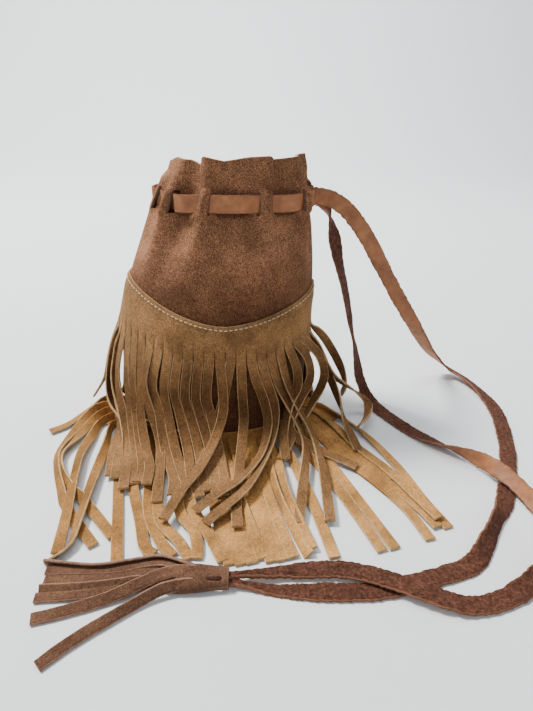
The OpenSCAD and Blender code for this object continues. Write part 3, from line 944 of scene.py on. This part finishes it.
LOWER_FRONT = [
    ([(-90, 4, 6), (-105, 0, 3), (-118, -30, 2), (-131, -43, 2)], 20, 0),
    ([(-88, -6, 5), (-104, -10, 3), (-112, -44, 2), (-115, -70, 2), (-109, -90, 2), (-98, -113, 2),
      (-90, -128, 1.5), (-62, -162, 1.5)], 60, 0),
    ([(-86, -14, 5), (-98, -20, 3), (-106, -54, 3), (-111, -71, 3), (-107, -88, 3), (-93, -110, 3),
      (-80, -123, 3), (-52, -155, 1.5)], 70, 0),
    ([(-82, -24, 5), (-92, -30, 4), (-95, -55, 4), (-96, -76, 5), (-91, -108, 5), (-85, -142, 4),
      (-82, -168, 1.5)], 35, 0),
    ([(-74, -34, 6), (-83, -38, 4), (-80, -70, 4), (-78, -114, 5), (-76, -144, 4), (-76, -164, 3),
      (-87, -175, 1.5)], 0, 50),
    ([(-66, -44, 5), (-68, -64, 2), (-63, -96, 1.5), (-54, -135, 1.5), (-45, -174, 1.5)], 0, 0),
    ([(-57, -52, 5), (-54, -76, 2), (-50, -108, 2), (-38, -142, 2), (-31, -163, 2), (-24, -169, 2)], 20, 0),
    ([(-46, -56, 5), (-42, -90, 2), (-35, -132, 2), (-23, -158, 2), (-13, -170, 1.5)], -20, 0),
    ([(-38, -58, 5), (-34, -90, 3), (-27, -138, 3), (-11, -160, 3), (-3, -172, 1.5)], 0, 0),
    ([(-29, -60, 5), (-24, -90, 2), (-14, -134, 3), (-3, -151, 3), (1, -165, 2), (1, -172, 1.5)], 0, 0),
    ([(-20, -62, 5), (-16, -92, 3), (-7, -130, 3), (4, -149, 3), (17, -174, 1.5)], 15, 0),
    ([(-12, -64, 5), (0, -100, 2), (11, -140, 1.2), (21, -176, 1.2)], 0, 0),
    ([(-5, -64, 5), (6, -100, 2), (17, -140, 1.2), (27.4, -176, 1.2)], 0, 0),
    ([(2, -65, 5), (12.5, -100, 2), (23.5, -140, 1.2), (33.8, -175, 1.2)], 0, 0),
    ([(8, -65, 5), (19, -100, 2), (30, -140, 2), (40, -172, 1.5)], 60, 0),
    ([(16, -64, 5), (26, -100, 2), (36, -140, 1.2), (45, -174, 1.2)], 0, 0),
    ([(24, -62, 5), (32.6, -100, 2), (42.3, -140, 1.2), (51.4, -173, 1.2)], 0, 0),
    ([(31, -60, 5), (38, -92, 2), (48.6, -140, 2.2), (58, -171, 1.6)], 0, 0),
    ([(38, -58, 5), (44, -90, 3), (50, -118, 3), (57, -143, 3), (67, -170, 2)], 62, 40),
    ([(45, -55, 5), (50, -84, 4), (57, -125, 4), (69, -166, 3)], 55, 10),
    ([(52, -50, 6), (62, -84, 3), (71, -118, 2), (77, -146, 1.5), (82, -171, 1.2)], 0, 0),
    ([(58, -46, 6), (72, -72, 3), (85, -96, 1.5), (99, -132, 1.2), (111, -166, 1.2)], 0, 0),
    ([(66, -40, 6), (80, -68, 3), (92, -92, 1.5), (106.5, -130, 1.2), (119, -164, 1.2)], 0, 0),
    ([(72, -32, 6), (80, -42, 3), (99, -76, 1.5), (117, -102, 1.2), (133, -129, 1.2),
      (142, -157, 1.2)], 0, 0),
    ([(77, -25, 6), (86, -38, 3), (105, -71, 1.5), (123, -98, 1.2), (139, -125, 1.8),
      (149, -147, 2)], 0, 0),
    ([(80, -16, 6), (95, -34, 4), (110, -63, 3), (129, -94, 3.5), (144, -127, 4.2),
      (151, -142, 4.4)], 0, 0),
    ([(84, -6, 6), (104, -24, 3), (119, -43, 1.5), (137, -86, 1.2), (147, -122, 1.2),
      (156, -147, 1.2)], 0, 0),
]

# Lower strips that stay uncut from the next one for this many steps.
UNCUT = {0: 4, 1: 5, 2: 6, 3: 5, 4: 4, 5: 7, 6: 8, 7: 9, 8: 9, 9: 9, 10: 9, 11: 28, 12: 29, 13: 8, 14: 6,
         15: 30, 16: 8, 17: 6, 18: 6, 23: 21, 24: 20, 25: 6}

STRIPS, STRIP_STEPS = 27, 30
# Middle height of a strip that lies on the ground.
LEAST_Z = 1.1


def resample(line, count):
    """The line cut into equal lengths."""
    run = run_along(line)
    at = np.linspace(0, run[-1], count)
    return np.column_stack([np.interp(at, run, line[:, k]) for k in range(3)])


def hanging_strip(a, z_root, plan, clear):
    """Middle line of a strip: from its root down the wall, then through its points."""
    via, *twists = plan
    start = [wall(a, z_root) + wall_normal(a, z_root) * YOKE_OUT]
    if z_root > 40:
        z = z_root - 7
        start.append(wall(a, z) + wall_normal(a, z) * (YOKE_OUT + 0.3))
    line = resample(catmull(start + list(via), 10), STRIP_STEPS)
    out = []
    for k, p in enumerate(line):
        p = push_out(p, YOKE_OUT + (clear - YOKE_OUT) * min(1.0, k / 3))
        p[2] = max(p[2], LEAST_Z)
        out.append(p)
    return np.array(out), twists


def back_plan(a, reach, drop, rest):
    """A strip behind the pouch falls straight down and lies straight back, a little scattered."""
    foot = wall(a, 5)
    x = foot[0] * RNG.uniform(0.94, 1.0)
    away = abs(math.cos(math.radians(a)))
    via = [tuple(wall(a, 46, 4)), tuple(wall(a, 22, 8))] if drop else []
    near = wall(a, rest + 3, 15 - 5 * away)
    tip_y = min(foot[1] + reach * RNG.uniform(0.92, 1.0), 145)
    halfway = (x * 0.97 + RNG.uniform(-2, 2), (near[1] + tip_y) / 2, rest)
    via += [tuple(near), halfway, (x * 0.94, tip_y, rest)]
    return via, RNG.uniform(-12, 12), RNG.uniform(-6, 6)


def add_fringe():
    def band_foot(a):
        return BAND_FOOT

    def band_head(a):
        return BAND_HEAD

    for side, start, end in (("front", 180.6, 359.4), ("back", 0.6, 179.4)):
        front = side == "front"
        angles = arc_angles(SLIT_TOP, start, end, STRIPS)
        upper, lower = [], []
        for k in range(STRIPS):
            a = (angles[k] + angles[k + 1]) / 2
            if front:
                plan, low_plan = UPPER_FRONT[k], LOWER_FRONT[k]
            else:
                plan = back_plan(a, 82, True, 4.2 + 1.6 * (k % 3))
                low_plan = back_plan(a, 100, False, 1.3 + 1.2 * (k % 2))
            upper.append(hanging_strip(a, slit_top(a), plan, 2.2))
            lower.append(hanging_strip(a, BAND_FOOT, low_plan, 1.6))
        yoke = comb_mesh(side + "_yoke", start, end, yoke_top, slit_top, upper, 1.7,
                         [YOKE, YOKE_EDGE], band_rows=6, joined={})
        stand_in(yoke, "pouch", side + "_fringed_yoke")
        comb = comb_mesh(side + "_lower", start, end, band_head, band_foot, lower, 1.6,
                         [LOWER, LOWER_EDGE], band_rows=3, joined=UNCUT if front else {})
        stand_in(comb, "pouch", side + "_lower_fringe")
        add_stitches(side, start, end)


# One stitch from end to end: the share of its length, its height over the suede and its
# radius, in mm. Both ends are sunk.
STITCH_PITCH, STITCH_LONG, STITCH_DROP = 3.6, 2.5, 2.5
STITCH = [(0, -0.2, 0.16), (0.12, 0.12, 0.3), (0.5, 0.28, 0.34), (0.88, 0.12, 0.3), (1, -0.2, 0.16)]


def stitch_place(a):
    z = yoke_top(a) - STITCH_DROP
    share = STITCH_DROP / max(yoke_top(a) - slit_top(a), 1)
    out = YOKE_OUT + band_puff(share) + fold_share(a, z) + 0.85
    return wall(a, z) + wall_normal(a, z) * out


def add_stitches(side, start, end):
    """Short thread stitches below the yoke's sewn edge."""
    fine = np.linspace(start, end, 600)
    run = run_along([stitch_place(a) for a in fine])
    corners = 6
    points, faces = [], []
    for k in range(int(run[-1] / STITCH_PITCH)):
        faces += tube_faces(len(points), len(STITCH), corners)
        for share, up, r in STITCH:
            a = np.interp((k + 0.25) * STITCH_PITCH + STITCH_LONG * share, run, fine)
            p = stitch_place(a)
            n = wall_normal(a, p[2])
            ahead = stitch_place(a + 0.4) - p
            b = np.cross(n, ahead / np.linalg.norm(ahead))
            for m in range(corners):
                t = 2 * math.pi * m / corners
                points.append(p + n * (up + r * math.cos(t)) + b * r * math.sin(t))
    piece = make_object(side + "_stitches", points, faces, [THREAD], sharp=60)
    stand_in(piece, "pouch", side + "_yoke_stitching")


# ---------------------------------------------------------------- tassel

HEAD_Y = -188.5
# Each strip of the tassel: its points from the head to its tip, its tilt at the head, half way
# and at the tip, and its width.
TAILS = [
    ([(4, -183, 6.5), (-8, -178, 7), (-20, -174.5, 6), (-36, -176.5, 4.4), (-56, -179, 3.6),
      (-85, -176, 4)], -48, -66, -58, 6.4),
    ([(4, -184, 5), (-8, -181, 6), (-22, -178, 5), (-44, -180.5, 3), (-64, -181, 2.6),
      (-83, -181, 2.4)], -20, 4, 10, 6.6),
    ([(2, -187, 4), (-10, -186, 4.4), (-26, -184, 4), (-46, -185.5, 2), (-82, -187.5, 1.2)], -8, 0, 0, 7.4),
    ([(2, -188, 3.4), (-10, -188, 4), (-30, -189, 3.2), (-56, -192.5, 2), (-82, -194.5, 2)], 0, 40, 46, 5.4),
    ([(2, -189, 2.6), (-12, -190, 2.8), (-34, -193, 1.6), (-60, -197, 1.2), (-83, -199, 1.2)], 0, 10, 6, 6.0),
    ([(3, -187.5, 8.2), (-6, -187, 8.4), (-16, -188.5, 7.2), (-27, -192.5, 5), (-46, -201, 2),
      (-64, -207.5, 1.2), (-80, -212, 1.2)], 22, 24, 6, 7.0),
    ([(3, -193, 5.4), (-6, -194, 5.6), (-15, -196.5, 5), (-25, -202, 3.4), (-40, -213, 1.8),
      (-55, -225, 1.2), (-67, -237, 1.2)], 56, 34, 6, 6.6),
]
TAIL_T = 1.7


def head_section(x):
    """Half width, half height and middle height of the rolled head at x."""
    at = (-14, -6, 4, 14, 21)
    half_w = np.interp(x, at, (6.5, 8.4, 7.8, 6.2, 5.8))
    half_h = np.interp(x, at, (1.6, 3.6, 4.2, 4.2, 4.1))
    return half_w, half_h, half_h + 0.25


def head_ring(x, scale, count):
    """Points round the roll. One leather edge overlaps the rest along its back."""
    half_w, half_h, mid = head_section(x)
    ring = []
    for k in range(count):
        t = 2 * math.pi * k / count
        c, s = math.cos(t), math.sin(t)
        y = half_w * math.copysign(abs(c) ** 0.85, c)
        z = half_h * math.copysign(abs(s) ** 0.85, s) + 0.14 * y
        lap = 0.7 * smoothstep(t, 0.5, 0.62) * (1 - smoothstep(t, 2.2, 3.4))
        ring.append(np.array([x, HEAD_Y + y * scale, max(0.1, mid + (z + lap) * scale)]))
    return ring


def add_head():
    """The roll, with a hollow mouth at its right end for the drawstring."""
    count = 44
    # x of each ring and how wide it is: from inside the mouth, over its lip, to the left end
    mouth = [(20.0, 0.3), (16.0, 0.55), (20.2, 0.66), (21.0, 0.78), (21.2, 0.97)]
    stations = mouth + [(x, 1.0) for x in np.linspace(20.8, -14, 20)] + [(-14.2, 0.5)]
    points = [p for x, scale in stations for p in head_ring(x, scale, count)]
    # this tube runs towards -X, so its faces are turned over
    tube = tube_faces(0, len(stations), count)
    faces = [(a, d, c, b) for a, b, c, d in tube[:-2]] + [cap[::-1] for cap in tube[-2:]]
    kinds = [1 if 1 <= i < len(mouth) else 0 for i in range(len(stations) - 1) for k in range(count)]
    kinds += [0, 0]
    head = make_object("tassel_roll", points, faces, [TASSEL, TASSEL_EDGE], kinds, sharp=50)
    cut_slot(head)
    stand_in(head, "tassel", "tassel_head")
    return head


def add_tails():
    points, faces, kinds = [], [], []
    steps = 44
    sides = [0 if k in UPPER_SIDE or k in LOWER_SIDE else 1 for k in range(SECTION_COUNT)]
    for n, (via, tilt0, tilt1, tilt2, width) in enumerate(TAILS):
        line = resample(catmull(via, 10), steps)
        along = directions(line)
        rng = random.Random(40 + n)
        fray = [0.0, 0.0]
        faces += tube_faces(len(points), steps, SECTION_COUNT)
        kinds += sides * (steps - 1) + [1, 1]
        for i, p in enumerate(line):
            side, rise = across(along[i])
            tilt = np.interp(i / (steps - 1), (0, 0.12, 0.5, 1), (tilt0, tilt0, tilt1, tilt2))
            angle = math.radians(tilt)
            wide = side * math.cos(angle) + rise * math.sin(angle)
            thin = np.cross(along[i], wide)
            fray = [0.6 * edge + rng.uniform(-0.1, 0.1) for edge in fray]
            lift = abs(math.sin(angle)) * width / 2 + abs(math.cos(angle)) * TAIL_T / 2
            p = np.array([p[0], p[1], max(p[2], lift + 0.15)])
            for u, v in strap_section(width / 2, TAIL_T / 2, fray):
                points.append(p + wide * u + thin * v)
    tails = make_object("tassel_tails", points, faces, [TASSEL, TASSEL_EDGE], kinds, sharp=50)
    stand_in(tails, "tassel", "tassel_strips")
    return tails


def cut_slot(head):
    """Cuts the punched slot, a long hole with round ends, down through the head."""
    points = []
    ring = 24
    cx, cy, half_l, half_w = 13.5, -191.6, 4.2, 1.5
    for z in (-5, 15):
        for k in range(ring):
            t = 2 * math.pi * k / ring
            x = cx + (half_l - half_w) * (1 if math.cos(t) > 0 else -1) + half_w * math.cos(t)
            points.append((x, cy + half_w * math.sin(t), z))
    faces = tube_faces(0, 2, ring)
    cutter = make_object("slot_cutter", points, faces, [TASSEL_EDGE], [0] * len(faces), sharp=40)
    cut = head.modifiers.new("slot", "BOOLEAN")
    cut.operation = "DIFFERENCE"
    cut.solver = "EXACT"
    cut.object = cutter
    cut.material_mode = "TRANSFER"
    graph = bpy.context.evaluated_depsgraph_get()
    mesh = bpy.data.meshes.new_from_object(head.evaluated_get(graph))
    head.modifiers.clear()
    head.data = mesh
    bpy.data.objects.remove(cutter)


# ---------------------------------------------------------------- build

add_camera()
add_stage()
ends = add_drawstring_ends()
bodies = add_body()
collars = add_collars()
add_neck_run()
add_fringe()
head, tails = add_head(), add_tails()
base = add_base()
